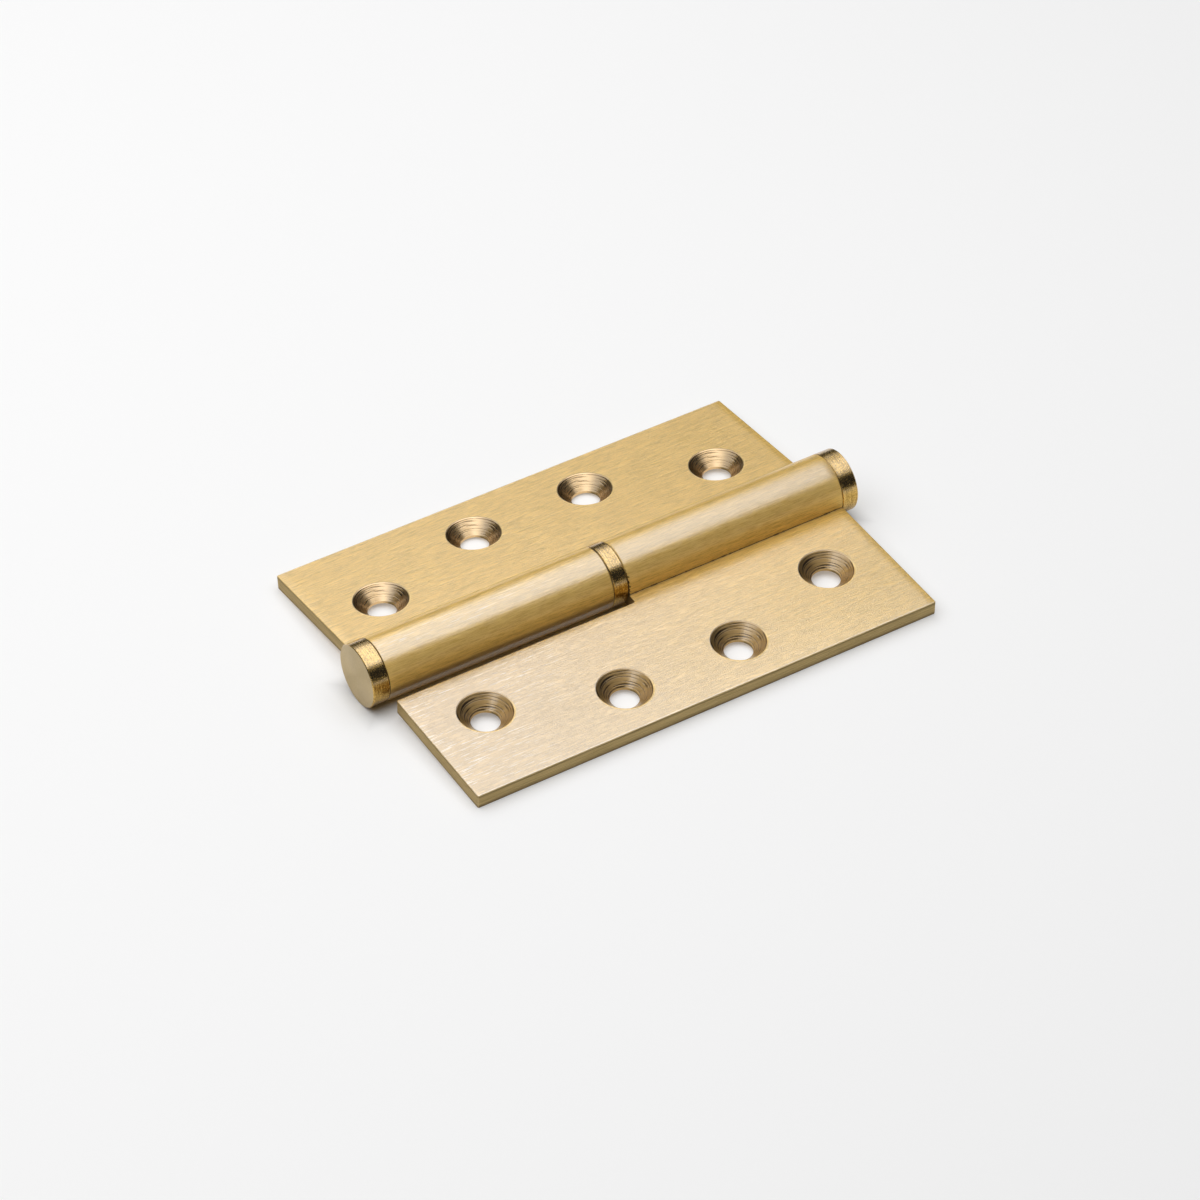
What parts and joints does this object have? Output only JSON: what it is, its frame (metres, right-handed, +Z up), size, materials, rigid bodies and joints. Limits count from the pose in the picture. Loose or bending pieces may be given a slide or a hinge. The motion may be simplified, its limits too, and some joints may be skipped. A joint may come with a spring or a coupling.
{
  "type": "lift-off hinge",
  "caption": "Open brass lift-off butt hinge: flat countersunk leaves on stacked round knuckles with a ring between them and flat end caps, so a door can be lifted off its pin.",
  "frame": {"origin": "on the table, straight under the pin axis at the middle of the ring between the knuckles", "axes": "+X along the pin, the way the door leaf lifts off; +Y over the frame leaf; +Z up from the table, on the countersunk side"},
  "size_m": [0.107, 0.0748, 0.0125],
  "materials": {
    "satin_brass": "brushed along the pin, satin",
    "turned_brass": "turned, fairly bright",
    "pin_steel": "ground"
  },
  "bodies": {
    "frame_leaf": {"frame_leaf": "satin_brass", "hinge_pin": "pin_steel", "lower_cap": "turned_brass"},
    "washer": {"thrust_washer": "turned_brass"},
    "door_leaf": {"door_leaf": "satin_brass", "upper_cap": "turned_brass"}
  },
  "joints": [
    {"name": "swing", "type": "hinge", "parent": "frame_leaf", "child": "washer", "pos_m": [0, 0, 0.00625], "axis": [-1, 0, 0], "range_deg": [-113, 186.9]},
    {"name": "lift_off", "type": "slide", "parent": "washer", "child": "door_leaf", "axis": [1, 0, 0], "range_m": [0, 0.042]}
  ]
}
